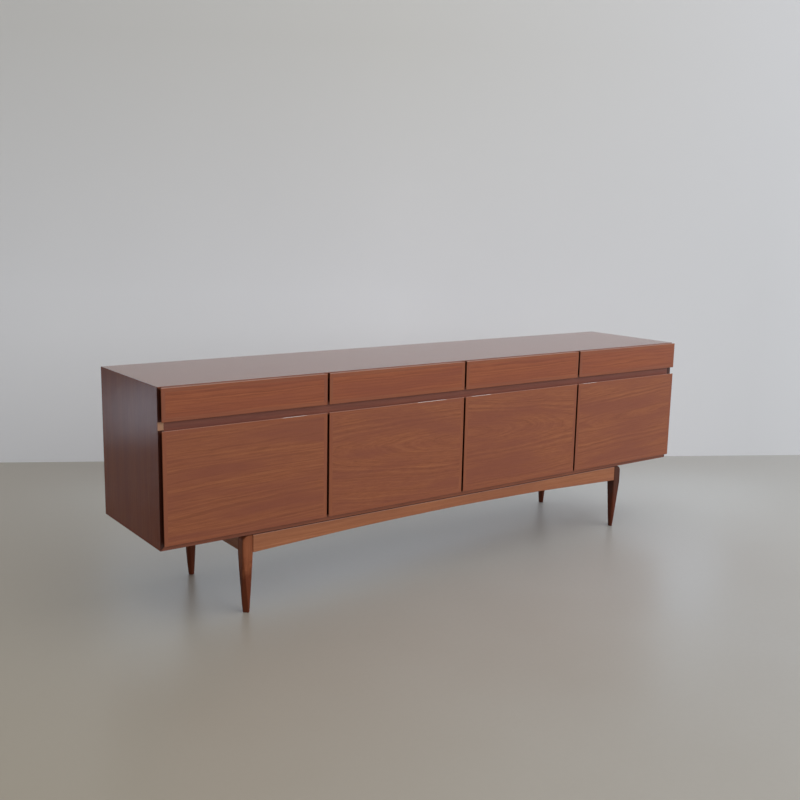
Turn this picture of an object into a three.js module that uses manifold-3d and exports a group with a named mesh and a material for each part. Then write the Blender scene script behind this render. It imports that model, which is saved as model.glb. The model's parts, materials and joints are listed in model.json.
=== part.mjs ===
// A long low sideboard: a mitred teak case on a separate leg frame, with four drawers over four doors.
// Millimetres, +Z up. X runs along the length and -Y is the front. The origin is on the floor, midway.
import * as THREE from "three";
import { mergeVertices } from "three/addons/utils/BufferGeometryUtils.js";
import Module from "manifold-3d";

const wasm = await Module();
wasm.setup();

// ---- Driving dimensions ----

// Overall
const LENGTH = 2400;
const DEPTH = 500;
const HEIGHT = 795;
const BASE_HEIGHT = 275; // floor to the underside of the case

// Case
const PANEL = 20; // top, bottom and ends
const DIVIDER = 28;
const DECK = 15; // board that the drawers run on
const RAIL_THICK = 20; // rail behind the finger channel
const BACK_THICK = 8;
const BACK_INSET = 10; // back panel in from the rear edges
const SHELF_THICK = 15;
const SHELF_SETBACK = 45; // shelf front edge behind the case's front edges
const SHELF_END_GAP = 1;
const SHELF_SHARE = 0.5; // height of the shelf's middle in the cupboard, 0 bottom to 1 top
const SEAM = 0.3; // gap at a glued or resting joint

// Drawer fronts and doors
const BAYS = 4;
const FRONT_THICK = 19.6;
const FRONT_STANDOFF = 0.4; // between a front's back and the case's front edges
const FRONT_INSET = 5; // outer fronts in from the ends of the case
const FRONT_GAP = 8; // slot between two fronts
const TOP_REVEAL = 1.5; // drawer fronts below the top surface
const DRAWER_FRONT_HEIGHT = 106;
const CHANNEL = 27.5; // finger channel between drawers and doors
const BOTTOM_REVEAL = 18.5; // doors above the underside of the case
const UNDERCUT = 7; // 45 degree cut behind an edge, so that a front seems to float
const EASE = 1; // softened arris round a front's face
const BACK_CHAMFER = 2; // corner taken off behind the upright edges, for the swing
const RAIL_OVERLAP = 3.5; // rail behind the undercut edges of drawers and doors

// Drawer boxes
const DRAWER_SIDE = 12;
const DRAWER_BOTTOM = 5;
const DRAWER_REAR_GAP = 32.1; // behind the drawer boxes, in front of the back panel
const DRAWER_SIDE_PLAY = 1.2;
const DRAWER_TOP_PLAY = 2;
const GROOVE_DEPTH = 5;
const GROOVE_HEIGHT = 10; // groove above the lower edge of the drawer sides
const GROOVE_PLAY = 0.2;

// Door hinges: a cranked plate on the case, with a pin in the door's end
const HINGE_SIDES = [-1, -1, 1, 1]; // -1 hinges on the left, 1 on the right
const PIVOT_BACK = 7.5; // pivot behind the door's face
const SWING_CLEARANCE = 1.5;
const PIN_RADIUS = 2;
const PIN_LENGTH = 12;
const PIN_PLAY = 0.2;
const PLATE = 3;
const PLATE_PLAY = 0.5;
const NOSE_RADIUS = 3.4;
const NECK = 9;
const LEAF_LENGTH = 36;
const LEAF_WIDTH = 17;

// Door catches
const CATCH_WIDTH = 24;
const CATCH_LENGTH = 30;
const CATCH_HEIGHT = 12;
const CATCH_SETBACK = 2;

// Leg frame
const LEG_WIDTH = 38;
const LEG_DEPTH = 40;
const FOOT = 25;
const FOOT_ROUNDING = 0.94; // corner radius as a share of half the foot
const LEG_ARRIS = 3;
const LEG_SHOULDER = 20; // rounded outer top corner
const LEG_SETBACK = 2; // leg faces in from the case's front and rear edges
const LEG_INSET = 305; // leg centres in from the ends of the case
const SHADOW_GAP = 3; // leg tops and the rebate below the case
const REBATE_DEPTH = 6;
const STRETCHER_HEIGHT = 61;
const STRETCHER_THICK = 22;
const STRETCHER_EASE = 1.5;
const STRETCHER_ARCH = 22; // rise of a stretcher's lower edge at mid-span
const ARCH_STEPS = 8;
const LEG_BLOCK = 8; // straight part of the leg below the stretcher

const OVERSHOOT = 1; // cutting shapes run past the wood by this much

// ---- Sizes that follow ----

const caseFront = -DEPTH / 2 + FRONT_THICK + FRONT_STANDOFF;
const caseBack = DEPTH / 2;
const caseBottom = BASE_HEIGHT;
const insideBottom = caseBottom + PANEL;
const insideTop = HEIGHT - PANEL;
const insideHalf = LENGTH / 2 - PANEL;
const backPanelFront = caseBack - BACK_INSET - BACK_THICK;
const frontWidth = (LENGTH - 2 * FRONT_INSET - (BAYS - 1) * FRONT_GAP) / BAYS;
const pitch = frontWidth + FRONT_GAP;

const drawerFrontTop = HEIGHT - TOP_REVEAL;
const drawerFrontBottom = drawerFrontTop - DRAWER_FRONT_HEIGHT;
const doorTop = drawerFrontBottom - CHANNEL;
const doorBottom = caseBottom + BOTTOM_REVEAL;
const railBottom = doorTop - UNDERCUT - RAIL_OVERLAP;
const railTop = drawerFrontBottom + UNDERCUT + RAIL_OVERLAP;
const deckTop = railTop;
const deckBottom = deckTop - DECK;

const pivotIn = FRONT_THICK + FRONT_STANDOFF - PIVOT_BACK - SWING_CLEARANCE;
const pocketFront = PIVOT_BACK - NOSE_RADIUS - PLATE_PLAY;
const legCentre = LENGTH / 2 - LEG_INSET;

const frontCentre = (bay) => (bay - (BAYS - 1) / 2) * pitch;
const dividerCentre = (index) => frontCentre(index) + pitch / 2;
const bayLeft = (bay) => (bay === 0 ? -insideHalf : dividerCentre(bay - 1) + DIVIDER / 2);
const bayRight = (bay) => (bay === BAYS - 1 ? insideHalf : dividerCentre(bay) - DIVIDER / 2);

// ---- Materials ----

const finish = (color, roughness, metalness = 0) =>
  new THREE.MeshStandardMaterial({ color, roughness, metalness });
const caseTeak = finish(0x7d5140, 0.42);
const frontTeak = finish(0x87543c, 0.42);
const solidTeak = finish(0x8f5c3f, 0.48);
const drawerWood = finish(0xc8a06f, 0.6);
const innerTeak = finish(0x9a6a48, 0.6);
const brass = finish(0xb08a45, 0.35, 1);
const catchPlastic = finish(0x4a3326, 0.55);

// ---- Geometry helpers ----

const root = new THREE.Group();

function place(parent, name, geometry, material, position = [0, 0, 0]) {
  const mesh = new THREE.Mesh(geometry, material);
  mesh.name = name;
  mesh.position.set(...position);
  parent.add(mesh);
  return mesh;
}

// A plain board between two limits on each axis.
function board(parent, name, material, [x0, x1], [y0, y1], [z0, z1]) {
  const centre = [(x0 + x1) / 2, (y0 + y1) / 2, (z0 + z1) / 2];
  return place(parent, name, new THREE.BoxGeometry(x1 - x0, y1 - y0, z1 - z0), material, centre);
}

function boxBetween([x0, x1], [y0, y1], [z0, z1]) {
  const box = new THREE.BoxGeometry(x1 - x0, y1 - y0, z1 - z0);
  return box.translate((x0 + x1) / 2, (y0 + y1) / 2, (z0 + z1) / 2);
}

function extrude(outline, length) {
  const shape = new THREE.Shape(outline.map(([a, b]) => new THREE.Vector2(a, b)));
  return new THREE.ExtrudeGeometry(shape, { depth: length, bevelEnabled: false });
}

// An outline in X and Z, carried along Y.
function extrudeAlongY(outline, [y0, y1]) {
  return extrude(outline, y1 - y0).rotateX(Math.PI / 2).translate(0, y1, 0);
}

// An outline in Y and Z, carried along X.
function extrudeAlongX(outline, [x0, x1]) {
  const turn = new THREE.Matrix4().makeBasis(
    new THREE.Vector3(0, 1, 0),
    new THREE.Vector3(0, 0, 1),
    new THREE.Vector3(1, 0, 0),
  );
  return extrude(outline, x1 - x0).applyMatrix4(turn).translate(x0, 0, 0);
}

// An outline in X and Y, carried up Z.
function extrudeUp(outline, [z0, z1]) {
  return extrude(outline, z1 - z0).translate(0, 0, z0);
}

// A closed skin over rings of equal length. Each ring runs anticlockwise seen from the last ring's side.
function loft(rings) {
  const count = rings[0].length;
  const positions = rings.flat(2);
  const index = [];
  for (let r = 0; r + 1 < rings.length; r++) {
    for (let i = 0; i < count; i++) {
      const a = r * count + i;
      const b = r * count + ((i + 1) % count);
      index.push(a, b, b + count, a, b + count, a + count);
    }
  }
  const last = (rings.length - 1) * count;
  for (let i = 1; i + 1 < count; i++) {
    index.push(0, i + 1, i);
    index.push(last, last + i, last + i + 1);
  }
  const geometry = new THREE.BufferGeometry();
  geometry.setAttribute("position", new THREE.Float32BufferAttribute(positions, 3));
  geometry.setIndex(index);
  geometry.computeVertexNormals();
  return geometry;
}

function solidOf(geometry) {
  const bare = geometry.clone();
  bare.deleteAttribute("normal");
  bare.deleteAttribute("uv");
  const merged = mergeVertices(bare, 1e-4);
  const vertProperties = new Float32Array(merged.getAttribute("position").array);
  const triVerts = new Uint32Array(merged.getIndex().array);
  return new wasm.Manifold(new wasm.Mesh({ numProp: 3, vertProperties, triVerts }));
}

function geometryOf(solid) {
  const mesh = solid.getMesh();
  const geometry = new THREE.BufferGeometry();
  geometry.setAttribute("position", new THREE.Float32BufferAttribute(mesh.vertProperties, 3));
  geometry.setIndex([...mesh.triVerts]);
  geometry.computeVertexNormals();
  return geometry;
}

const cut = (geometry, tools) =>
  geometryOf(tools.reduce((solid, tool) => solid.subtract(solidOf(tool)), solidOf(geometry)));
const join = (geometry, other) => geometryOf(solidOf(geometry).add(solidOf(other)));

// A round bar standing between two heights.
function bar(radius, [x, y], [z0, z1]) {
  const segments = 24;
  const geometry = new THREE.CylinderGeometry(radius, radius, z1 - z0, segments);
  return geometry.rotateX(Math.PI / 2).translate(x, y, (z0 + z1) / 2);
}

// ---- Case ----

const caseDepth = [caseFront, caseBack];

// Top or bottom board with mitred ends; its wide face is at outer, its narrow face at inner.
function mitredLevel(name, outer, inner) {
  const outline = [
    [-LENGTH / 2, outer],
    [LENGTH / 2, outer],
    [insideHalf, inner],
    [-insideHalf, inner],
  ];
  place(root, name, extrudeAlongY(outline, caseDepth), caseTeak);
}

function mitredEnd(name, side) {
  const mitreGap = SEAM * Math.SQRT2;
  const outline = [
    [(side * LENGTH) / 2, caseBottom + mitreGap],
    [(side * LENGTH) / 2, HEIGHT - mitreGap],
    [side * insideHalf, insideTop - mitreGap],
    [side * insideHalf, insideBottom + mitreGap],
  ];
  place(root, name, extrudeAlongY(outline, caseDepth), caseTeak);
}

function backPanel() {
  const width = insideHalf - SEAM;
  const depth = [backPanelFront, backPanelFront + BACK_THICK];
  const height = [insideBottom + SEAM, insideTop - SEAM];
  board(root, "case_back_panel", innerTeak, [-width, width], depth, height);
}

// The divider is notched round the channel rail, and slotted from the front to cross the deck.
const slotEnd = (caseFront + backPanelFront) / 2;

function divider(index) {
  const rear = backPanelFront - SEAM;
  const railRear = caseFront + RAIL_THICK + SEAM;
  const slotRear = slotEnd + SEAM;
  const outline = [
    [caseFront, insideBottom + SEAM],
    [rear, insideBottom + SEAM],
    [rear, insideTop - SEAM],
    [caseFront, insideTop - SEAM],
    [caseFront, railTop + SEAM],
    [slotRear, deckTop + SEAM],
    [slotRear, deckBottom - SEAM],
    [railRear, deckBottom - SEAM],
    [railRear, railBottom - SEAM],
    [caseFront, railBottom - SEAM],
  ];
  const width = [-DIVIDER / 2, DIVIDER / 2];
  const position = [dividerCentre(index), 0, 0];
  place(root, `case_divider_${index + 1}`, extrudeAlongX(outline, width), innerTeak, position);
}

// The deck is slotted from the rear at each divider.
function deck() {
  const width = insideHalf - SEAM;
  const front = caseFront + RAIL_THICK + SEAM;
  const rear = backPanelFront - SEAM;
  const outline = [
    [-width, front],
    [width, front],
    [width, rear],
  ];
  for (let index = BAYS - 2; index >= 0; index--) {
    const right = dividerCentre(index) + DIVIDER / 2 + SEAM;
    const left = dividerCentre(index) - DIVIDER / 2 - SEAM;
    outline.push([right, rear], [right, slotEnd], [left, slotEnd], [left, rear]);
  }
  outline.push([-width, rear]);
  place(root, "drawer_deck", extrudeUp(outline, [deckBottom, deckTop]), innerTeak);
}

// Distance from the pivot, towards the bay, at which the hinge leaf clears the case's side of the bay.
function leafStart(bay) {
  const side = HINGE_SIDES[bay];
  const face = side < 0 ? bayLeft(bay) : bayRight(bay);
  return (pivotX(bay) - face) * side + PLATE_PLAY;
}

function pivotX(bay) {
  return frontCentre(bay) + HINGE_SIDES[bay] * (frontWidth / 2 - pivotIn);
}

const topPlate = [doorTop - UNDERCUT - PLATE - PLATE_PLAY, doorTop - UNDERCUT - PLATE_PLAY];
const bottomPlate = [insideBottom + SEAM, insideBottom + SEAM + PLATE];

function channelRail() {
  const width = insideHalf - SEAM;
  const depth = [caseFront, caseFront + RAIL_THICK];
  const rail = boxBetween([-width, width], depth, [railBottom, railTop]);
  const notches = HINGE_SIDES.map((side, bay) => {
    const near = pivotX(bay) - side * (leafStart(bay) - PLATE_PLAY);
    const far = pivotX(bay) - side * (leafStart(bay) + LEAF_LENGTH + PLATE_PLAY);
    const across = [Math.min(near, far), Math.max(near, far)];
    const through = [depth[0] - OVERSHOOT, depth[1] + OVERSHOOT];
    return boxBetween(across, through, [railBottom - OVERSHOOT, topPlate[1] + SEAM]);
  });
  place(root, "channel_rail", cut(rail, notches), frontTeak);
}

function shelf(bay) {
  const middle = insideBottom + (deckBottom - insideBottom) * SHELF_SHARE;
  const across = [bayLeft(bay) + SHELF_END_GAP, bayRight(bay) - SHELF_END_GAP];
  const depth = [caseFront + SHELF_SETBACK, backPanelFront - SHELF_END_GAP];
  const height = [middle - SHELF_THICK / 2, middle + SHELF_THICK / 2];
  board(root, `shelf_${bay + 1}`, innerTeak, across, depth, height);
}

// ---- Fronts ----

// A drawer front or door: face at y = 0, lower edge at z = 0, centred on x. Its upright edges are undercut,
// and its top or bottom edge is too where cutTop or cutBottom says so.
function frontPanel(height, cutTop, cutBottom) {
  const stations = [
    { depth: 0, inset: EASE, ease: EASE, behind: 0 },
    { depth: EASE, inset: 0, ease: 0, behind: 0 },
    { depth: EASE + UNDERCUT, inset: UNDERCUT, ease: 0, behind: UNDERCUT },
    { depth: FRONT_THICK - BACK_CHAMFER, inset: UNDERCUT, ease: 0, behind: UNDERCUT },
    { depth: FRONT_THICK, inset: UNDERCUT + BACK_CHAMFER, ease: 0, behind: UNDERCUT },
  ];
  const rings = stations.map(({ depth, inset, ease, behind }) => {
    const side = frontWidth / 2 - inset;
    const bottom = ease + (cutBottom ? behind : 0);
    const top = height - ease - (cutTop ? behind : 0);
    return [
      [-side, depth, bottom],
      [-side, depth, top],
      [side, depth, top],
      [side, depth, bottom],
    ];
  });
  return loft(rings);
}

// ---- Drawers ----

function drawer(bay) {
  const name = `drawer_${bay + 1}`;
  const group = new THREE.Group();
  group.position.set(frontCentre(bay), caseFront - FRONT_STANDOFF, deckTop + SEAM);
  root.add(group);

  // Everything below is from the middle of the front's back, at the lower edge of the sides.
  const left = bayLeft(bay) + DRAWER_SIDE_PLAY - group.position.x;
  const right = bayRight(bay) - DRAWER_SIDE_PLAY - group.position.x;
  const sideHeight = insideTop - DRAWER_TOP_PLAY - group.position.z;
  const length = [SEAM, backPanelFront - DRAWER_REAR_GAP - group.position.y];
  const groove = [GROOVE_HEIGHT, GROOVE_HEIGHT + DRAWER_BOTTOM + 2 * GROOVE_PLAY];
  const panelDepth = GROOVE_DEPTH - GROOVE_PLAY;

  const front = frontPanel(DRAWER_FRONT_HEIGHT, false, true);
  front.translate(0, -FRONT_THICK, drawerFrontBottom - group.position.z);
  const grooveInFront = boxBetween([left, right], [-GROOVE_DEPTH, OVERSHOOT], groove);
  place(group, `${name}_front`, cut(front, [grooveInFront]), frontTeak);

  // side is -1 for the left board and 1 for the right one; inner faces look at each other.
  function sideBoard(part, outer, side) {
    const inner = outer - side * DRAWER_SIDE;
    const floor = inner + side * GROOVE_DEPTH;
    const outline = [
      [outer, 0],
      [outer, sideHeight],
      [inner, sideHeight],
      [inner, groove[1]],
      [floor, groove[1]],
      [floor, groove[0]],
      [inner, groove[0]],
      [inner, 0],
    ];
    place(group, `${name}_${part}`, extrudeAlongY(outline, length), drawerWood);
  }
  sideBoard("left_side", left, -1);
  sideBoard("right_side", right, 1);

  const innerLeft = left + DRAWER_SIDE;
  const innerRight = right - DRAWER_SIDE;
  const bottomHeight = [groove[0] + GROOVE_PLAY, groove[1] - GROOVE_PLAY];
  const bottomWidth = [innerLeft - panelDepth, innerRight + panelDepth];
  const bottomLength = [-panelDepth, length[1]];
  board(group, `${name}_bottom`, drawerWood, bottomWidth, bottomLength, bottomHeight);

  const backWidth = [innerLeft + SEAM, innerRight - SEAM];
  const backLength = [length[1] - DRAWER_SIDE, length[1]];
  const backHeight = [bottomHeight[1] + SEAM, sideHeight];
  board(group, `${name}_back`, drawerWood, backWidth, backLength, backHeight);
}

// ---- Doors ----

// The plate's plan about the pivot: u towards the middle of the bay, v towards the back.
function plateOutline(bay) {
  const start = leafStart(bay);
  const caseEdge = FRONT_THICK + FRONT_STANDOFF - PIVOT_BACK;
  const leafFront = caseEdge + SEAM;
  const noseSteps = 8;
  const nose = [];
  for (let i = 0; i <= noseSteps; i++) {
    const angle = Math.PI + (i * Math.PI) / noseSteps;
    nose.push([NOSE_RADIUS * Math.cos(angle), NOSE_RADIUS * Math.sin(angle)]);
  }
  return [
    ...nose,
    [start + NECK, caseEdge - FRONT_STANDOFF - NOSE_RADIUS],
    [start + NECK, leafFront],
    [start + LEAF_LENGTH, leafFront],
    [start + LEAF_LENGTH, leafFront + LEAF_WIDTH],
    [start, leafFront + LEAF_WIDTH],
    [start, caseEdge - PLATE_PLAY],
    [-NOSE_RADIUS, PIVOT_BACK / 2],
  ];
}

function door(bay) {
  const name = `door_${bay + 1}`;
  const side = HINGE_SIDES[bay];
  const height = doorTop - doorBottom;
  const group = new THREE.Group();
  group.position.set(pivotX(bay), -DEPTH / 2 + PIVOT_BACK, 0);
  root.add(group);

  // The door hangs from the pivot, so its group can be turned about Z to open it.
  const panel = frontPanel(height, true, false);
  panel.translate(-side * (frontWidth / 2 - pivotIn), -PIVOT_BACK, doorBottom);
  const outer = side * (pivotIn + OVERSHOOT);
  const inner = -side * (leafStart(bay) + NECK + PLATE_PLAY);
  const across = [Math.min(outer, inner), Math.max(outer, inner)];
  const through = [pocketFront - PIVOT_BACK, FRONT_THICK];
  const topFloor = topPlate[0] - PLATE_PLAY;
  const bottomFloor = bottomPlate[1] + PLATE_PLAY;
  const holeRadius = PIN_RADIUS + PIN_PLAY;
  const holeDepth = PIN_LENGTH + PLATE_PLAY;
  const tools = [
    boxBetween(across, through, [topFloor, doorTop + OVERSHOOT]),
    boxBetween(across, through, [doorBottom - OVERSHOOT, bottomFloor]),
    bar(holeRadius, [0, 0], [topFloor - holeDepth, topFloor + OVERSHOOT]),
    bar(holeRadius, [0, 0], [bottomFloor - OVERSHOOT, bottomFloor + holeDepth]),
  ];
  place(group, `${name}_panel`, cut(panel, tools), frontTeak);

  // The plates belong to the case.
  const plan = plateOutline(bay).map(([u, v]) => [-side * u, v]);
  const topPin = bar(PIN_RADIUS, [0, 0], [topFloor - PIN_LENGTH, topPlate[0] + PLATE / 2]);
  const bottomPin = bar(PIN_RADIUS, [0, 0], [bottomPlate[1] - PLATE / 2, bottomFloor + PIN_LENGTH]);
  const position = [group.position.x, group.position.y, 0];
  place(root, `${name}_top_hinge`, join(extrudeUp(plan, topPlate), topPin), brass, position);
  place(root, `${name}_bottom_hinge`, join(extrudeUp(plan, bottomPlate), bottomPin), brass, position);

  // Magnetic catch under the rail, at the free side.
  const face = side < 0 ? bayRight(bay) : bayLeft(bay);
  const catchAcross = [face + side * SEAM, face + side * (SEAM + CATCH_WIDTH)].sort((a, b) => a - b);
  const catchDepth = [caseFront + CATCH_SETBACK, caseFront + CATCH_SETBACK + CATCH_LENGTH];
  const catchHeight = [railBottom - SEAM - CATCH_HEIGHT, railBottom - SEAM];
  board(root, `${name}_catch`, catchPlastic, catchAcross, catchDepth, catchHeight);
}

// ---- Leg frame ----

const legTop = caseBottom - SHADOW_GAP;
const stretcherBottom = caseBottom - SHADOW_GAP - STRETCHER_HEIGHT;
const blockBottom = stretcherBottom - LEG_BLOCK;
const legY = {
  front: caseFront + LEG_SETBACK + LEG_DEPTH / 2,
  back: caseBack - LEG_SETBACK - LEG_DEPTH / 2,
};

// A rectangle with round corners, between x0 and x1 and y0 and y1, at height z.
function roundedRing([x0, x1], [y0, y1], radius, z) {
  const steps = 5;
  const corners = [
    [x1 - radius, y1 - radius, 0],
    [x0 + radius, y1 - radius, 1],
    [x0 + radius, y0 + radius, 2],
    [x1 - radius, y0 + radius, 3],
  ];
  return corners.flatMap(([cx, cy, quarter]) =>
    Array.from({ length: steps + 1 }, (_, i) => {
      const angle = ((quarter + i / steps) * Math.PI) / 2;
      return [cx + radius * Math.cos(angle), cy + radius * Math.sin(angle), z];
    }),
  );
}

// The outer top corner is rounded; below the block the square section tapers to a nearly round foot.
function legGeometry(outward) {
  const rings = [];
  const taperSteps = 10;
  for (let i = 0; i <= taperSteps; i++) {
    const share = i / taperSteps;
    const halfX = THREE.MathUtils.lerp(FOOT, LEG_WIDTH, share) / 2;
    const halfY = THREE.MathUtils.lerp(FOOT, LEG_DEPTH, share) / 2;
    const roundFoot = (FOOT / 2) * FOOT_ROUNDING;
    const radius = THREE.MathUtils.lerp(roundFoot, LEG_ARRIS, share);
    rings.push(roundedRing([-halfX, halfX], [-halfY, halfY], radius, blockBottom * share));
  }
  const shoulderSteps = 6;
  for (let i = 0; i <= shoulderSteps; i++) {
    const angle = (i / shoulderSteps) * (Math.PI / 2);
    const shrink = LEG_SHOULDER * (1 - Math.cos(angle));
    const limit = LEG_WIDTH / 2 - shrink;
    const across = outward > 0 ? [-LEG_WIDTH / 2, limit] : [-limit, LEG_WIDTH / 2];
    const z = legTop - LEG_SHOULDER * (1 - Math.sin(angle));
    rings.push(roundedRing(across, [-LEG_DEPTH / 2, LEG_DEPTH / 2], LEG_ARRIS, z));
  }
  return loft(rings);
}

function legs() {
  for (const [rowName, y] of Object.entries(legY)) {
    for (const [sideName, side] of [["left", -1], ["right", 1]]) {
      const position = [side * legCentre, y, 0];
      place(root, `leg_${rowName}_${sideName}`, legGeometry(side), solidTeak, position);
    }
  }
}

// Section of a rail: its outer face is at a, its inner face at b, and its outer upper edge is rebated.
function railSection(a, b, bottom = stretcherBottom) {
  const inward = Math.sign(b - a);
  const ease = STRETCHER_EASE;
  const top = caseBottom - SEAM;
  return [
    [b, bottom],
    [a + inward * ease, bottom],
    [a, bottom + ease],
    [a, legTop - ease],
    [a + inward * ease, legTop],
    [a + inward * REBATE_DEPTH, legTop],
    [a + inward * REBATE_DEPTH, top],
    [b, top],
  ];
}

// A rail between two legs, with a lower edge that rises in a shallow arch.
function archedStretcher(a, b, halfLength) {
  const rings = [];
  for (let i = 0; i <= ARCH_STEPS; i++) {
    const share = (2 * i) / ARCH_STEPS - 1;
    const bottom = stretcherBottom + STRETCHER_ARCH * (1 - share * share);
    rings.push(railSection(a, b, bottom).map(([y, z]) => [share * halfLength, y, z]));
  }
  // The section runs clockwise seen from the right when its outer face is the front one.
  return loft(a < b ? rings.reverse() : rings);
}

function legFrameRails() {
  const between = legCentre - LEG_WIDTH / 2 - SEAM;
  const frontFace = legY.front - LEG_DEPTH / 2;
  const backFace = legY.back + LEG_DEPTH / 2;
  const frontStretcher = archedStretcher(frontFace, frontFace + STRETCHER_THICK, between);
  const backStretcher = archedStretcher(backFace, backFace - STRETCHER_THICK, between);
  place(root, "base_front_stretcher", frontStretcher, solidTeak);
  place(root, "base_back_stretcher", backStretcher, solidTeak);

  const depth = [legY.front + LEG_DEPTH / 2 + SEAM, legY.back - LEG_DEPTH / 2 - SEAM];
  for (const [sideName, side] of [["left", -1], ["right", 1]]) {
    const outer = side * (legCentre + STRETCHER_THICK / 2);
    const section = railSection(outer, outer - side * STRETCHER_THICK);
    place(root, `base_${sideName}_rail`, extrudeAlongY(section, depth), solidTeak);
  }
}

// ---- Assembly ----

mitredLevel("case_top", HEIGHT, insideTop);
mitredLevel("case_bottom", caseBottom, insideBottom);
mitredEnd("case_left_end", -1);
mitredEnd("case_right_end", 1);
backPanel();
deck();
channelRail();
for (let index = 0; index < BAYS - 1; index++) {
  divider(index);
}
for (let bay = 0; bay < BAYS; bay++) {
  shelf(bay);
  drawer(bay);
  door(bay);
}
legs();
legFrameRails();

export default root;
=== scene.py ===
"""Looks for a long low teak sideboard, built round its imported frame.

Metres, +Z up, and the front faces -Y. Each board is rebuilt from its CAD node with softened edges. Each wood
is a solid texture cut from its own log, so that the grain runs right on faces, edges and ends alike.
"""

import json
import math
import random

import bmesh
import bpy
from mathutils import Matrix, Vector


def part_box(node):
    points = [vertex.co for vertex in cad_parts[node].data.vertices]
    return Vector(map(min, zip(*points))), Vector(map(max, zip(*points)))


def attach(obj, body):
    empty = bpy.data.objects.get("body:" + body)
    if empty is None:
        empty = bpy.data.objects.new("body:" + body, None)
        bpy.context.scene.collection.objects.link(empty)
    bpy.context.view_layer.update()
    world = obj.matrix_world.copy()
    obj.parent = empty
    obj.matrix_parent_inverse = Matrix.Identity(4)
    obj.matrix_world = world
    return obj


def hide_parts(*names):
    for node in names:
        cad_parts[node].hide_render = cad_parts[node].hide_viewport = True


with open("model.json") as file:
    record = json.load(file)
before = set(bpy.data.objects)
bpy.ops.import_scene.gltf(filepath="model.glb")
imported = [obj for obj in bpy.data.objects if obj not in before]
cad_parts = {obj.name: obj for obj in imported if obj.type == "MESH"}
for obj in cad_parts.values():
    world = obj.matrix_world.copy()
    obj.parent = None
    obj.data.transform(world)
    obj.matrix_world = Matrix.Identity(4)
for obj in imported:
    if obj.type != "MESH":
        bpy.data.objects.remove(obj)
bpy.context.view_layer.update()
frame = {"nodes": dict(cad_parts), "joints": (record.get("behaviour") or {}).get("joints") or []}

MM = 0.001
BAYS = range(1, 5)
rng = random.Random(11)

X, Y, Z = Vector((1, 0, 0)), Vector((0, 1, 0)), Vector((0, 0, 1))


def linear(red, green, blue):
    """A screen colour, 0 to 255, as linear light."""
    values = [c / 255 for c in (red, green, blue)]
    return [c / 12.92 if c <= 0.04045 else ((c + 0.055) / 1.055) ** 2.4 for c in values]


# ---- Shader nodes ----


def add(tree, kind, inputs=None, **settings):
    """A new node. An input that is a socket is linked, and any other value is set."""
    made = tree.nodes.new("ShaderNode" + kind)
    for key, value in settings.items():
        setattr(made, key, value)
    for key, value in (inputs or {}).items():
        if isinstance(value, bpy.types.NodeSocket):
            tree.links.new(value, made.inputs[key])
        else:
            made.inputs[key].default_value = value
    return made


def calc(tree, operation, a, b=0.0):
    return add(tree, "Math", {0: a, 1: b}, operation=operation).outputs[0]


def stretched(tree, vector, scale):
    return add(tree, "VectorMath", {0: vector, 1: scale}, operation="MULTIPLY").outputs[0]


def noise(tree, vector, scale, detail=2.0, roughness=0.5):
    """Noise with its own scale on each axis."""
    inputs = {
        "Vector": stretched(tree, vector, scale),
        "Scale": 1.0,
        "Detail": detail,
        "Roughness": roughness,
    }
    return add(tree, "TexNoise", inputs).outputs["Fac"]


def ramp(tree, factor, stops):
    """A colour ramp through (place, colour) stops."""
    made = add(tree, "ValToRGB", {"Fac": factor})
    elements = made.color_ramp.elements
    while len(elements) < len(stops):
        elements.new(0.5)
    for element, (place, colour) in zip(elements, stops):
        element.position = place
        element.color = [*colour, 1.0]
    return made.outputs["Color"]


def band(tree, value, low, high, out_low=0.0, out_high=1.0):
    """A value between low and high, mapped to the outer range and held there past its ends."""
    inputs = {"Value": value, "From Min": low, "From Max": high, "To Min": out_low, "To Max": out_high}
    return add(tree, "MapRange", inputs).outputs["Result"]


def mixed(tree, factor, a, b):
    """Colour a, with as much of colour b as the factor says."""
    made = add(tree, "Mix", data_type="RGBA")
    for index, value in ((0, factor), (6, a), (7, b)):  # a colour mix has its colours on sockets 6 and 7
        if isinstance(value, bpy.types.NodeSocket):
            tree.links.new(value, made.inputs[index])
        else:
            made.inputs[index].default_value = value if index == 0 else [*value, 1.0]
    return made.outputs[2]


def new_material(name):
    """A material, its node tree and its shader."""
    material = bpy.data.materials.new(name)
    material.use_nodes = True
    return material, material.node_tree, material.node_tree.nodes["Principled BSDF"]


def bump(tree, shader, height, strength, depth):
    bumped = add(tree, "Bump", {"Height": height, "Strength": strength, "Distance": depth})
    tree.links.new(bumped.outputs["Normal"], shader.inputs["Normal"])


SWAY = 34 * MM  # how far a ring strays over half a metre of trunk
WAVER = 11 * MM  # and over a hand's breadth
RINGS_PER_METRE = 120.0


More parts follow.
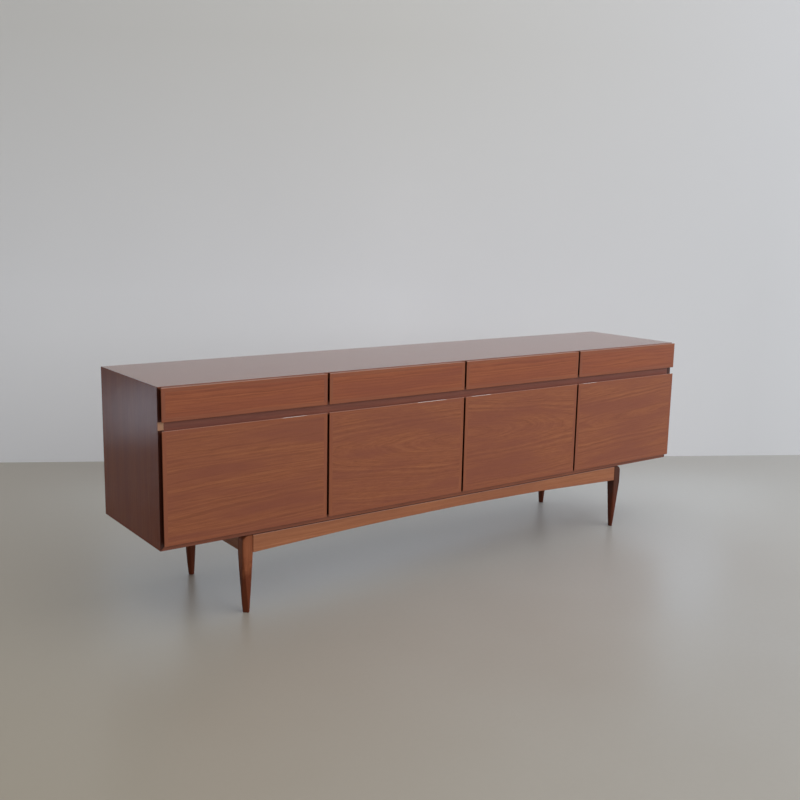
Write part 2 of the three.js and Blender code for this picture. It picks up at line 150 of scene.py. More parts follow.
def figure_group():
    """Growth rings, colour drift, fibre and pores at a point in a log whose pith is its X axis, in metres."""
    tree = bpy.data.node_groups.new("log_figure", "ShaderNodeTree")
    tree.interface.new_socket("Place", in_out="INPUT", socket_type="NodeSocketVector")
    for name in ("Rings", "Drift", "Fibre", "Pores"):
        tree.interface.new_socket(name, in_out="OUTPUT", socket_type="NodeSocketFloat")
    place = tree.nodes.new("NodeGroupInput").outputs["Place"]
    across_trunk = stretched(tree, place, (0, 1, 1))
    radial = add(tree, "VectorMath", {0: across_trunk}, operation="LENGTH").outputs["Value"]
    sway = calc(tree, "MULTIPLY", noise(tree, place, (1.9, 8, 8), 1.0), SWAY)
    waver = calc(tree, "MULTIPLY", noise(tree, place, (7, 38, 38), 2.0), WAVER)
    radius = calc(tree, "ADD", calc(tree, "ADD", radial, sway), waver)
    rings = add(
        tree,
        "TexNoise",
        {"W": radius, "Scale": RINGS_PER_METRE, "Detail": 4.0, "Roughness": 0.66},
        noise_dimensions="1D",
    ).outputs["Fac"]
    outputs = tree.nodes.new("NodeGroupOutput")
    found = {
        "Rings": rings,
        "Drift": noise(tree, place, (2.2, 21, 21), 3.0),
        "Fibre": noise(tree, place, (9, 230, 230), 4.0, 0.62),
        "Pores": band(tree, noise(tree, place, (60, 1500, 1500), 1.0), 0.60, 0.70),
    }
    for name, socket in found.items():
        tree.links.new(socket, outputs.inputs[name])
    return tree


FIGURE = figure_group()


def log(along, across, pith, distance, rise=0.0, turn=0.0):
    """Where a board lies in its log, as (location, rotation) for a Mapping node.

    The board runs up the trunk in one direction, and across its face in another. Its face passes the pith at
    this distance, level with the point pith. rise tilts the trunk out of the face, and turn turns it in the
    face, both in degrees.
    """
    rows = Matrix((along, across, along.cross(across)))
    tilt = Matrix.Rotation(math.radians(rise), 3, "Y") @ Matrix.Rotation(math.radians(turn), 3, "Z")
    rotation = tilt @ rows
    location = Vector((0, 0, distance)) - rotation @ Vector(pith)
    return location, rotation.to_euler("XYZ")


FIBRE_SHARE, RING_SHARE = 0.45, 0.55  # of a wood's tone
TONE_SPREAD = 0.28  # from the middle tone to the dark and the light one
WAX_ROUGHNESS = 0.16
PORE_DEPTH = 0.12 * MM


def wood(name, cut, palette, gloss=(0.34, 0.46), contrast=1.0, ior=1.35, wax=0.0, shine=0.5):
    """A wood cut from its log. The palette is dark, middle and light, and a cast that drifts in."""
    material, tree, shader = new_material(name)
    shader.inputs["IOR"].default_value = ior
    shader.inputs["Specular IOR Level"].default_value = shine
    shader.inputs["Coat Weight"].default_value = wax
    shader.inputs["Coat Roughness"].default_value = WAX_ROUGHNESS
    location, rotation = cut
    start = add(tree, "TexCoord").outputs["Object"]
    mapping = {"Vector": start, "Location": location, "Rotation": rotation}
    place = add(tree, "Mapping", mapping).outputs[0]
    figure = tree.nodes.new("ShaderNodeGroup")
    figure.node_tree = FIGURE
    tree.links.new(place, figure.inputs["Place"])
    rings, drift, fibre, pores = figure.outputs
    tone = calc(tree, "MULTIPLY_ADD", fibre, FIBRE_SHARE)
    tree.links.new(calc(tree, "MULTIPLY", rings, RING_SHARE), tone.node.inputs[2])
    dark, middle, light, cast = (linear(*c) for c in palette)
    spread = TONE_SPREAD / contrast
    stops = [(0.5 - spread, dark), (0.5, middle), (0.5 + spread, light)]
    colour = ramp(tree, tone, stops)
    colour = mixed(tree, band(tree, drift, 0.38, 0.68, 0.0, 0.75), colour, cast)
    colour = mixed(tree, calc(tree, "MULTIPLY", pores, 0.35), colour, dark)
    tree.links.new(colour, shader.inputs["Base Color"])
    smoothest, roughest = gloss
    tree.links.new(band(tree, tone, 0.3, 0.7, roughest, smoothest), shader.inputs["Roughness"])
    height = calc(tree, "SUBTRACT", calc(tree, "MULTIPLY", fibre, 0.4), pores)
    bump(tree, shader, height, 0.25, PORE_DEPTH)
    return material


def paint_span(material, axis, start, end, colour, soft=0.012, strength=1.0):
    """Another colour painted over the wood between two places on an axis, with ragged ends."""
    tree = material.node_tree
    shader = tree.nodes["Principled BSDF"]
    wooden = shader.inputs["Base Color"].links[0].from_socket
    place = add(tree, "TexCoord").outputs["Object"]
    along = add(tree, "SeparateXYZ", {0: place}).outputs[axis]
    wander = noise(tree, place, (60, 60, 60), 3.0)
    ragged = calc(tree, "ADD", along, calc(tree, "MULTIPLY", wander, 1.6 * soft))
    entering = band(tree, ragged, start, start + soft)
    leaving = band(tree, ragged, end - soft, end, 1.0, 0.0)
    between = calc(tree, "MULTIPLY", calc(tree, "MULTIPLY", entering, leaving), strength)
    tree.links.new(mixed(tree, between, wooden, linear(*colour)), shader.inputs["Base Color"])


# Screen colours of each wood: dark, middle, light and cast
FACE = ((116, 63, 38), (147, 85, 55), (166, 102, 66), (132, 73, 54))
DRAWER_FACE = ((112, 57, 34), (149, 81, 50), (169, 98, 63), (136, 72, 51))
LIPPING = ((124, 68, 44), (146, 83, 54), (158, 95, 63), (137, 77, 56))
CHANNEL = ((108, 60, 46), (136, 79, 62), (148, 90, 72), (126, 73, 62))
# Painted shade: near-black teak for faces and edges that lie in shadow
PAINTED_SHADE = ((52, 22, 14), (76, 34, 22), (90, 44, 28), (64, 30, 20))
CASE = ((112, 62, 43), (142, 82, 58), (156, 96, 70), (126, 72, 56))
END = ((110, 50, 32), (138, 69, 42), (152, 81, 51), (124, 59, 40))
LEG = ((112, 58, 34), (146, 84, 54), (166, 102, 68), (124, 68, 46))
# A painted highlight: paler teak for upper and eased arrises
ARRIS_HIGHLIGHT = ((150, 98, 76), (176, 124, 102), (190, 142, 122), (168, 120, 104))
# Painted shade: the leg teak darkened, for legs that lie in shadow
PAINTED_SHADE_LEG = ((60, 31, 22), (84, 48, 36), (98, 59, 44), (72, 41, 32))
SOLID = ((130, 76, 48), (163, 102, 68), (184, 122, 86), (146, 88, 62))
INNER = ((128, 80, 50), (162, 108, 70), (180, 126, 86), (148, 96, 64))
BOX_WOOD = ((178, 142, 100), (203, 168, 124), (214, 182, 140), (196, 160, 118))

# Colours painted in over the wood: a patch of painted light, painted shade at the feet, and near-white
# stretches
CHANNEL_LIGHT_PATCH = (182, 136, 106)
FOOT_SHADE = (96, 42, 22)
NEAR_WHITE = (226, 212, 206)


def plain_metal(name, colour, roughness, grain):
    """A satin metal with fine brushing and slow tarnish."""
    material, tree, shader = new_material(name)
    shader.inputs["Metallic"].default_value = 1.0
    place = add(tree, "TexCoord").outputs["Object"]
    tarnish = noise(tree, place, (140, 140, 140), 3.0)
    brushed = noise(tree, place, grain, 2.0)
    base = linear(*colour)
    dull = [c * 0.55 for c in base]
    tree.links.new(mixed(tree, band(tree, tarnish, 0.35, 0.7), base, dull), shader.inputs["Base Color"])
    satin = band(tree, brushed, 0.3, 0.7, roughness - 0.08, roughness + 0.12)
    tree.links.new(satin, shader.inputs["Roughness"])
    bump(tree, shader, brushed, 0.15, 0.05 * MM)
    return material


def moulded_plastic():
    """Brown plastic with a fine moulded texture."""
    material, tree, shader = new_material("catch_housing")
    place = add(tree, "TexCoord").outputs["Object"]
    mottle = noise(tree, place, (90, 90, 90), 2.0)
    texture = noise(tree, place, (2600, 2600, 2600), 1.0)
    colour = ramp(tree, mottle, [(0.3, linear(62, 43, 33)), (0.7, linear(80, 58, 45))])
    tree.links.new(colour, shader.inputs["Base Color"])
    tree.links.new(band(tree, mottle, 0.3, 0.7, 0.42, 0.58), shader.inputs["Roughness"])
    bump(tree, shader, texture, 0.3, 0.04 * MM)
    return material


BRASS = plain_metal("aged_brass", (190, 150, 84), 0.34, (60, 2200, 2200))
STEEL = plain_metal("zinc_steel", (176, 178, 180), 0.3, (2200, 60, 2200))
PLASTIC = moulded_plastic()

# ---- Mesh helpers ----

WELD = 0.01 * MM
FLAT = math.radians(0.6)  # faces that meet at less than this are one flat


def middle_of(node):
    low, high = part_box(node)
    return (low + high) / 2


def finished(name, bm, materials, body, nodes=(), sharp=32.0):
    """A mesh piece with smooth faces between its sharp edges, riding on its body."""
    mesh = bpy.data.meshes.new(name)
    bmesh.ops.recalc_face_normals(bm, faces=bm.faces)
    bm.to_mesh(mesh)
    bm.free()
    for material in materials:
        mesh.materials.append(material)
    mesh.shade_smooth()
    mesh.set_sharp_from_angle(angle=math.radians(sharp))
    piece = bpy.data.objects.new(name, mesh)
    bpy.context.scene.collection.objects.link(piece)
    weighted = piece.modifiers.new("even_faces", "WEIGHTED_NORMAL")
    weighted.keep_sharp = True
    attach(piece, body)
    if nodes:
        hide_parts(*nodes)
    return piece


def clean_copy(node):
    """The CAD node's shape with one face to each flat."""
    bm = bmesh.new()
    bm.from_mesh(frame["nodes"][node].data)
    bmesh.ops.remove_doubles(bm, verts=bm.verts, dist=WELD)
    bmesh.ops.dissolve_limit(bm, angle_limit=FLAT, verts=bm.verts, edges=bm.edges)
    return bm


def soften(bm, width, picked=lambda edge: True, least=28.0, segments=3):
    """Rounds the picked edges whose faces meet at more than the least angle, in degrees."""
    sharp = math.radians(least)
    edges = [e for e in bm.edges if len(e.link_faces) == 2 and e.calc_face_angle() > sharp and picked(e)]
    bmesh.ops.bevel(
        bm,
        geom=edges,
        offset=width,
        segments=segments,
        profile=0.5,
        affect="EDGES",
        clamp_overlap=True,
    )


def board(node, name, material, body, ease=0.7 * MM, edge=None):
    """A plain board with eased edges. edge is the wood of its front edge, where that differs."""
    bm = clean_copy(node)
    soften(bm, ease)
    materials = [material]
    if edge:
        materials.append(edge)
        foremost = min(v.co.y for v in bm.verts)
        for face in bm.faces:
            if face.calc_center_median().y < foremost + ease:
                face.material_index = materials.index(edge)
    return finished(name, bm, materials, body, [node])


def skin(bm, rings):
    """Faces between closed rings of vertices, and a cap on the first and the last."""
    for lower, upper in zip(rings, rings[1:]):
        count = len(lower)
        for i in range(count):
            j = (i + 1) % count
            bm.faces.new((lower[i], lower[j], upper[j], upper[i]))
    bm.faces.new(rings[0][::-1])
    bm.faces.new(rings[-1])


def lathe(bm, profile, centre, axis, segments=24):
    """A turned shape. The profile is (radius, height) pairs along the axis, closed at both ends."""
    turn = axis.to_track_quat("Z", "Y").to_matrix()
    rings = []
    for radius, height in profile:
        ring = []
        for i in range(segments):
            angle = 2 * math.pi * i / segments
            point = Vector((radius * math.cos(angle), radius * math.sin(angle), height))
            ring.append(bm.verts.new(centre + turn @ point))
        rings.append(ring)
    skin(bm, rings)


def screw_head(bm, centre, axis, radius, slot_turn):
    """A slotted countersunk head that stands a little proud: two half caps over a floor."""
    rise, slot_half, slot_deep = 0.12 * radius, 0.11 * radius, 0.35 * radius
    slot_floor = -0.6 * slot_deep
    lathe(bm, [(radius, -slot_deep), (radius, slot_floor)], centre, axis, 28)
    turn = axis.to_track_quat("Z", "Y").to_matrix() @ Matrix.Rotation(slot_turn, 3, "Z")
    start = math.asin(slot_half / radius)
    steps = 12
    angles = [start + (math.pi - 2 * start) * i / steps for i in range(steps + 1)]
    levels = [(1.0, slot_floor), (1.0, 0.0), (0.93, rise * 0.7), (0.7, rise)]
    for side in (-1, 1):
        rings = []
        for share, height in levels:
            ring = []
            for angle in angles:
                y = max(slot_half, share * radius * math.sin(angle))
                point = Vector((share * radius * math.cos(angle), y, height))
                point.y *= side
                ring.append(bm.verts.new(centre + turn @ point))
            rings.append(ring)
        skin(bm, rings)


def block(bm, low, high, ease):
    """A small box with rounded edges."""
    made = bmesh.ops.create_cube(bm, size=1.0)["verts"]
    size, middle = high - low, (high + low) / 2
    for vert in made:
        vert.co = Vector((vert.co.x * size.x, vert.co.y * size.y, vert.co.z * size.z)) + middle
    edges = list({e for v in made for e in v.link_edges})
    bmesh.ops.bevel(bm, geom=edges, offset=ease, segments=2, profile=0.5, affect="EDGES", clamp_overlap=True)


# ---- Case ----


def straight(along, across, near, aside=0.42):
    """Straight grain: the pith lies to one side of the board, in the plane of its face."""
    pith = Vector(near) + across * (aside + rng.uniform(-0.05, 0.05))
    return log(along, across, pith, rng.uniform(0.04, 0.12), rng.uniform(-0.3, 0.3), rng.uniform(-0.5, 0.5))


# Teak darkened as painted shade, for faces and edges that lie in shadow
PAINTED_SHADE_TEAK = wood("painted_shade_teak", straight(Z, X, (0, 0, 0.5)), PAINTED_SHADE)
top_cut = log(X, Y, (0.1, 0.42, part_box("case_top")[1].z), 0.1, 0.5, 0.5)
top_board = board(
    "case_top",
    "top_board",
    wood("top_teak", top_cut, CASE, (0.2, 0.28), 0.8, 1.5, 0.5),
    "cabinet",
)
bottom_board = board(
    "case_bottom",
    "bottom_board",
    wood("bottom_teak", straight(X, Y, (0, -0.05, 0.28)), CASE),
    "cabinet",
    0.5 * MM,
)
# The lower front arris is painted dark as shade, to join the line of shadow over the leg frame
bottom_board.data.materials.append(PAINTED_SHADE_TEAK)
for face in bottom_board.data.polygons:
    if face.normal.y < -0.1 and face.normal.z < -0.1:
        face.material_index = 1
# The end boards' front edges are painted dark as shade, and the left one gets a painted patch of light where
# the channel bares it
channel_low, channel_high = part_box("door_1_panel")[1].z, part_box("drawer_1_front")[0].z
for side in ("left", "right"):
    middle = middle_of(f"case_{side}_end")
    cut = straight(Z, Y, middle, 0.55)
    end_teak = wood(f"{side}_end_teak", cut, END, (0.2, 0.26), 0.8, 1.26, shine=0.25)
    painted_shade_edge_teak = wood(f"{side}_painted_shade_edge_teak", straight(Z, X, middle), PAINTED_SHADE)
    if side == "left":
        paint_span(painted_shade_edge_teak, "Z", channel_low, channel_high, CHANNEL_LIGHT_PATCH, 0.001)
    board(f"case_{side}_end", f"{side}_end_board", end_teak, "cabinet", edge=painted_shade_edge_teak)

board(
    "case_back_panel",
    "back_board",
    wood("back_teak", log(X, Z, (0.3, 0, 0.52), 0.07, 1.6, 0.5), INNER, (0.5, 0.62)),
    "cabinet",
    0.5 * MM,
)
board(
    "drawer_deck",
    "deck_board",
    wood("deck_teak", straight(X, Y, (0, 0, 0.7)), INNER),
    "cabinet",
)
board(
    "channel_rail",
    "channel_board",
    wood("channel_teak", straight(X, Z, (0, 0, 0.6)), CHANNEL),
    "cabinet",
    0.8 * MM,
)
# The dividers' front edges, seen through the gaps between the fronts, are painted dark as shade
for index in range(1, 4):
    cut = straight(Z, Y, (0.1 * index, 0, 0.5))
    board(
        f"case_divider_{index}",
        f"divider_board_{index}",
        wood(f"divider_teak_{index}", cut, INNER),
        "cabinet",
        edge=PAINTED_SHADE_TEAK,
    )
for bay in BAYS:
    cut = straight(X, Y, (0.1 * bay, 0.02 * bay, 0.5))
    shelf_teak = wood(f"shelf_teak_{bay}", cut, INNER)
    board(f"shelf_{bay}", f"shelf_board_{bay}", shelf_teak, "cabinet")

# ---- Fronts ----

LIP = 12.5 * MM
ARRIS_DEPTH = 1.1 * MM
GLUE_LINE = 0.2 * MM
GLUE_DEPTH = 0.6 * GLUE_LINE
VENEER, UPRIGHT, LEVEL, UPPER_ARRIS_HIGHLIGHT, SHADED = range(5)  # a front's materials: veneer, lippings, the upper arris with a painted highlight, and faces painted dark as shade


def front(node, name, veneer, body, pale_span=None):
    """A veneered panel in solid lippings, whose glue line is a fine groove. Its upper arris is paler as a
    painted highlight, and its side and under faces are dark as painted shade.

    The last argument is where the upper arris turns near white, as two places on X.
    """
    low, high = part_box(node)
    middle = middle_of(node)
    bm = clean_copy(node)
    panel = max((f for f in bm.faces if f.normal.y < -0.99), key=lambda f: f.calc_area())
    for thickness, depth in ((LIP, 0.0), (GLUE_LINE, -GLUE_DEPTH), (GLUE_LINE, GLUE_DEPTH)):
        bmesh.ops.inset_region(bm, faces=[panel], thickness=thickness, depth=depth, use_even_offset=True)
    soften(bm, 0.5 * MM, lambda e: all(v.co.y < low.y + ARRIS_DEPTH for v in e.verts), 20.0)
    veneer_starts = LIP + 3 * GLUE_LINE
    for face in bm.faces:
        centre = face.calc_center_median()
        x_edge = min(centre.x - low.x, high.x - centre.x)
        z_edge = min(centre.z - low.z, high.z - centre.z)
        if x_edge > veneer_starts and z_edge > veneer_starts:
            face.material_index = VENEER
        elif x_edge < z_edge:
            face.material_index = UPRIGHT
        else:
            face.material_index = LEVEL
        if face.normal.y > 0.99:
            face.material_index = VENEER
        # Side and under faces are painted dark, as shade
        if abs(face.normal.x) > 0.9 or face.normal.z < -0.9:
            face.material_index = SHADED
        # The upper front arris is painted paler, as a highlight
        at_front_top = centre.z > high.z - ARRIS_DEPTH and centre.y < low.y + ARRIS_DEPTH
        if at_front_top and face.normal.z > 0.15:
            face.material_index = UPPER_ARRIS_HIGHLIGHT
    upright = wood(f"{name}_upright_lipping", straight(Z, X, middle), LIPPING, (0.32, 0.42))
    level = wood(f"{name}_level_lipping", straight(X, Z, middle), LIPPING, (0.32, 0.42))
    arris = wood(f"{name}_arris", straight(X, Z, middle), ARRIS_HIGHLIGHT, (0.24, 0.34), ior=1.5)
    if pale_span:
        paint_span(arris, "X", *pale_span, NEAR_WHITE)
    materials = [veneer, upright, level, arris, PAINTED_SHADE_TEAK]
    return finished(name, bm, materials, body, [node], 24.0)


door_left = {bay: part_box(f"door_{bay}_panel")[0].x for bay in BAYS}
door_right = {bay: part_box(f"door_{bay}_panel")[1].x for bay in BAYS}
doors_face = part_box("door_1_panel")[0].y
book_seam = (door_right[2] + door_left[3]) / 2
# Each door's pith, its distance from the face, and the trunk's rise and turn
DOOR_LOGS = {
    1: log(X, Z, (-0.9, doors_face, 0.16), 0.10, 2.6, -0.5),
    2: log(X, Z, (book_seam, doors_face, 0.50), 0.012, 6.5, 1.5),
    3: log(X, Z, (book_seam, doors_face, 0.52), 0.012, -6.5, 1.5),
    4: log(X, Z, (0.78, doors_face, 0.49), 0.03, 3.6, -3.0),
}
# Where each door's upper arris turns near white, at its free side
PALE_SPANS = {
    1: (door_right[1] - 0.17, door_right[1] - 0.07),
    2: (door_right[2] - 0.21, door_right[2] - 0.07),
    3: (door_left[3] + 0.035, door_left[3] + 0.14),
    4: (door_left[4] + 0.03, door_left[4] + 0.12),
}
for bay in BAYS:
    veneer = wood(f"door_{bay}_veneer", DOOR_LOGS[bay], FACE, contrast=1.1)
    front(f"door_{bay}_panel", f"door_{bay}_leaf", veneer, f"door_{bay}", PALE_SPANS[bay])
    cut = straight(X, Z, middle_of(f"drawer_{bay}_front"), 0.3)
    veneer = wood(f"drawer_{bay}_veneer", cut, DRAWER_FACE)
    front(f"drawer_{bay}_front", f"drawer_{bay}_face", veneer, f"drawer_{bay}")

# ---- Drawer boxes ----

for bay in BAYS:
    for part, along, across in (
        ("left_side", Y, Z),
        ("right_side", Y, Z),
        ("back", X, Z),
        ("bottom", X, Y),
    ):
        node = f"drawer_{bay}_{part}"
        cut = straight(along, across, middle_of(node))
        board(
            node,
            f"{node}_board",
            wood(f"{node}_beech", cut, BOX_WOOD, (0.45, 0.6), 0.8),
            f"drawer_{bay}",
            1.2 * MM if part.endswith("side") else 0.6 * MM,
        )

# ---- Leg frame ----

LEG_BLOCK = 8 * MM  # straight part of a leg below the stretcher
TAPER_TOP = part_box("base_front_stretcher")[0].z - LEG_BLOCK
FOOT_HALF = 12.5 * MM
FOOT_EASE = 1.2 * MM
SHOULDER = 20 * MM
LEAST_CUT = 3.0 * MM  # off the block's corners; the cuts grow towards the foot
CRISP, BLUNT = 60, 9  # ridges of the block and of the foot
FOOT_SHADE_SPAN = (-0.3, 0.27)  # painted shade towards the foot; it starts below the floor, so that only its upper end shows
AROUND = 96  # points round a leg


def section(half_x, half_y, cuts, sharpness):
    """Points round a rectangle with its corners cut off.

    cuts holds each corner's (x sign, y sign, size). A larger sharpness gives crisper ridges.
    """
    planes = [(0.0, half_x), (math.pi / 2, half_y), (math.pi, half_x), (-math.pi / 2, half_y)]
    for sign_x, sign_y, size in cuts:
        turn = math.atan2(sign_y, sign_x)
        planes.append((turn, (half_x + half_y - size) / math.sqrt(2)))
    points = []
    for i in range(AROUND):
        angle = 2 * math.pi * i / AROUND
        total = sum((max(0.0, math.cos(angle - turn)) / reach) ** sharpness for turn, reach in planes)
        reach = total ** (-1 / sharpness)
        points.append((reach * math.cos(angle), reach * math.sin(angle)))
    return points


def smooth(value, low, high):
    """0 up to low, 1 from high, and an even S between them."""
    share = min(1.0, max(0.0, (value - low) / (high - low)))
    return share * share * (3 - 2 * share)


def leg(node, name, outward, frontward, palette):
    """A tapered leg with a rounded outer shoulder, and facets that widen towards its foot."""
    low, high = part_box(node)
    middle = middle_of(node)
    half_x, half_y = (high.x - low.x) / 2, (high.y - low.y) / 2
    rings = []

    def ring(z, shift, across, deep, cuts, sharpness, scale=1.0):
        points = section(across, deep, cuts, sharpness)
        rings.append([(middle.x + shift + px * scale, middle.y + py * scale, z) for px, py in points])

    def cuts_at(share):
        outer_front = LEAST_CUT + 15 * MM * share**1.1
        outer_back = LEAST_CUT + 9 * MM * share
        inner = LEAST_CUT + 5 * MM * share
        return [
            (outward, frontward, outer_front),
            (outward, -frontward, outer_back),
            (-outward, frontward, inner),
            (-outward, -frontward, inner),
        ]

    taper_steps = 36
    for i in range(taper_steps + 1):
        share = 1 - i / taper_steps
        z = TAPER_TOP * (1 - share)
        across = half_x + (FOOT_HALF - half_x) * share
        deep = half_y + (FOOT_HALF - half_y) * share
        sharpness = CRISP + (BLUNT - CRISP) * smooth(share, 0.25, 1.0)
        if i == 0:
            ring(z, 0, across, deep, cuts_at(share), sharpness, 0.90)
            ring(z + FOOT_EASE, 0, across, deep, cuts_at(share), sharpness, 0.985)
            z += 2 * FOOT_EASE
        ring(z, 0, across, deep, cuts_at(share), sharpness)
    shoulder_steps = 10
    for i in range(shoulder_steps + 1):
        angle = (i / shoulder_steps) * math.pi / 2
        shrink = SHOULDER * (1 - math.cos(angle))
        z = high.z - SHOULDER * (1 - math.sin(angle))
        ring(z, -outward * shrink / 2, half_x - shrink / 2, half_y, cuts_at(0), CRISP)
    bm = bmesh.new()
    skin(bm, [[bm.verts.new(point) for point in points] for points in rings])
    pith = (middle.x + 0.02, middle.y, 0.1)
    cut = log(Z, X, pith, 0.05 + rng.uniform(0, 0.05), rng.uniform(-1, 1), 0.0)
    teak = wood(f"{name}_teak", cut, palette, ior=1.25)
    # Painted shade: the wood darkens towards the foot
    paint_span(teak, "Z", *FOOT_SHADE_SPAN, FOOT_SHADE, 0.09, 0.8)
    return finished(name, bm, [teak], "cabinet", [node], 30.0)


for row, frontward in (("front", -1), ("back", 1)):
    # The right-hand legs take the darker palette as painted shade
    for side, outward, palette in (("left", -1, LEG), ("right", 1, PAINTED_SHADE_LEG)):
        leg(f"leg_{row}_{side}", f"{side}_{row}_leg", outward, frontward, palette)


RAIL_ARRIS = 2.2 * MM  # the eased edge below the rebate, painted paler as a highlight


def frame_rail(node, name, cut):
    """A rail of the leg frame, painted dark in its rebate as shade, and paler along the eased edge below it
    as a painted highlight.
    """
    rebate_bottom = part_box("leg_front_left")[1].z
    bm = clean_copy(node)
    soften(bm, 0.6 * MM)
    arris = wood(f"{name}_arris", cut, ARRIS_HIGHLIGHT, (0.3, 0.4))
    materials = [wood(f"{name}_teak", cut, SOLID), PAINTED_SHADE_TEAK, arris]
    for face in bm.faces:
        level = face.calc_center_median().z
        if level > rebate_bottom - 0.1 * MM:
            face.material_index = materials.index(PAINTED_SHADE_TEAK)
        elif level > rebate_bottom - RAIL_ARRIS:
            face.material_index = materials.index(arris)
    finished(name, bm, materials, "cabinet", [node])


for row in ("front", "back"):
    node = f"base_{row}_stretcher"
    cut = straight(X, Z, middle_of(node) + 0.03 * Z, 0.09)
    frame_rail(node, f"{row}_stretcher", cut)
for side in ("left", "right"):
    node = f"base_{side}_rail"
    frame_rail(node, f"{side}_rail", straight(Y, Z, middle_of(node)))

# ---- Hardware ----

LEAF_LENGTH = 36 * MM
LEAF_WIDTH = 17 * MM
LEAF_LIFT = 3.3 * MM  # the lower leaf's face above the case bottom
LEAF_SCREWS = ((0.22, 0.36), (0.72, 0.6))  # shares of the leaf's length and width
HINGE_SCREW = 3.0 * MM  # radii of the screws' heads
STRIKE_SCREW = 2.4 * MM
BACK_SCREW = 3.6 * MM
STRIKE_THICK = 1.0 * MM
POLE_INSET = 4 * MM
POLE_HALF = 0.6 * MM
POLE_PROUD = 0.8 * MM

for bay in BAYS:
    joint = next(j for j in frame["joints"] if j["name"] == f"door_{bay}_hinge")
    pivot_x = joint["pos_m"][0]
    for end, facing in (("top", -Z), ("bottom", Z)):
        node = f"door_{bay}_{end}_hinge"
        bm = clean_copy(node)
        soften(bm, 0.35 * MM, lambda e: e.calc_length() > 2.5 * MM, 50.0, 2)
        finished(f"door_{bay}_{end}_plate", bm, [BRASS], "cabinet", [node])
        low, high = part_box(node)
        inward = 1 if middle_of(node).x > pivot_x else -1
        far = high.x if inward > 0 else low.x
        # The pin runs past the plate, so the plate's face is measured from the board that it lies on.
        rail_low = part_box("channel_rail")[0].z
        plate_face = rail_low if end == "top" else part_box("case_bottom")[1].z + LEAF_LIFT
        bm = bmesh.new()
        for along_share, across_share in LEAF_SCREWS:
            x = far - inward * LEAF_LENGTH * along_share
            centre = Vector((x, high.y - LEAF_WIDTH * across_share, plate_face))
            screw_head(bm, centre, facing, HINGE_SCREW, rng.uniform(0, math.pi))
        finished(f"door_{bay}_{end}_screws", bm, [BRASS], "cabinet")

    node = f"door_{bay}_catch"
    bm = clean_copy(node)
    soften(bm, 1.2 * MM)
    finished(f"catch_{bay}_housing", bm, [PLASTIC], "cabinet", [node])
    low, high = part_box(node)
    bm = bmesh.new()
    for level in (0.3, 0.7):
        z = low.z + (high.z - low.z) * level
        block(
            bm,
            Vector((low.x + POLE_INSET, low.y - POLE_PROUD, z - POLE_HALF)),
            Vector((high.x - POLE_INSET, low.y + POLE_INSET, z + POLE_HALF)),
            0.2 * MM,
        )
    finished(f"catch_{bay}_poles", bm, [STEEL], "cabinet")
    door_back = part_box(f"door_{bay}_panel")[1].y
    bm = bmesh.new()
    block(
        bm,
        Vector((low.x + 1 * MM, door_back - 0.1 * MM, low.z - 2 * MM)),
        Vector((high.x - 1 * MM, door_back + STRIKE_THICK, high.z - 1 * MM)),
        0.3 * MM,
    )
    centre = Vector((middle_of(node).x, door_back + STRIKE_THICK, low.z + 4 * MM))
    screw_head(bm, centre, Y, STRIKE_SCREW, rng.uniform(0, math.pi))
    finished(f"catch_{bay}_strike", bm, [STEEL], f"door_{bay}")

# Pins below each shelf
PIN_PROFILE = [(2.4 * MM, 0.1 * MM), (2.4 * MM, 8 * MM), (2.0 * MM, 8.7 * MM), (1.2 * MM, 9 * MM)]
PIN_DROP = 2.6 * MM
PIN_INSET = 40 * MM
for bay in BAYS:
    low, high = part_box(f"shelf_{bay}")
    bm = bmesh.new()
    for side, end_x in ((1, low.x - 1 * MM), (-1, high.x + 1 * MM)):
        for y in (low.y + PIN_INSET, high.y - PIN_INSET):
            lathe(bm, PIN_PROFILE, Vector((end_x, y, low.z - PIN_DROP)), X * side, 20)
    finished(f"shelf_{bay}_pins", bm, [BRASS], "cabinet")

# Screws round the back panel
low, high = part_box("case_back_panel")
bm = bmesh.new()
columns, rows = 13, 3
margin = 9 * MM
for i in range(columns):
    x = low.x + margin + (high.x - low.x - 2 * margin) * i / (columns - 1)
    for j in range(rows):
        if 0 < j < rows - 1 and 0 < i < columns - 1:
            continue
        z = low.z + margin + (high.z - low.z - 2 * margin) * j / (rows - 1)
        screw_head(bm, Vector((x, high.y, z)), Y, BACK_SCREW, rng.uniform(0, math.pi))
finished("back_board_screws", bm, [BRASS], "cabinet")

# ---- Stage ----

# Screen colours
FLOOR_TONES = ((181, 177, 170), (188, 185, 179))
FLOOR_SPECK = (170, 166, 160)
FLOOR_WARM = (184, 170, 144)
WALL_TONES = ((222, 222, 223), (228, 228, 229))
# Painted shade on the wall: darker higher up and towards the right
WALL_HIGH_SHADE = (204, 202, 196)
WALL_RIGHT_SHADE = (200, 199, 199)
ROOM_TONE = (214, 214, 216)

# Where the tones change, in metres
FLOOR_WARM_ENDS = (-2.6, 0.4)
WALL_HIGH_STARTS = (0.9, 2.2)
WALL_RIGHT_STARTS = (0.8, 2.6)


def plane(name, corners, material):
    mesh = bpy.data.meshes.new(name)
    mesh.from_pydata(corners, [], [tuple(range(len(corners)))])
    mesh.materials.append(material)
    made = bpy.data.objects.new(name, mesh)
    bpy.context.scene.collection.objects.link(made)


def clouded(tree, clouds, tones):
    """Two screen colours that drift into each other."""
    first, second = tones
    return ramp(tree, clouds, [(0.3, linear(*first)), (0.7, linear(*second))])


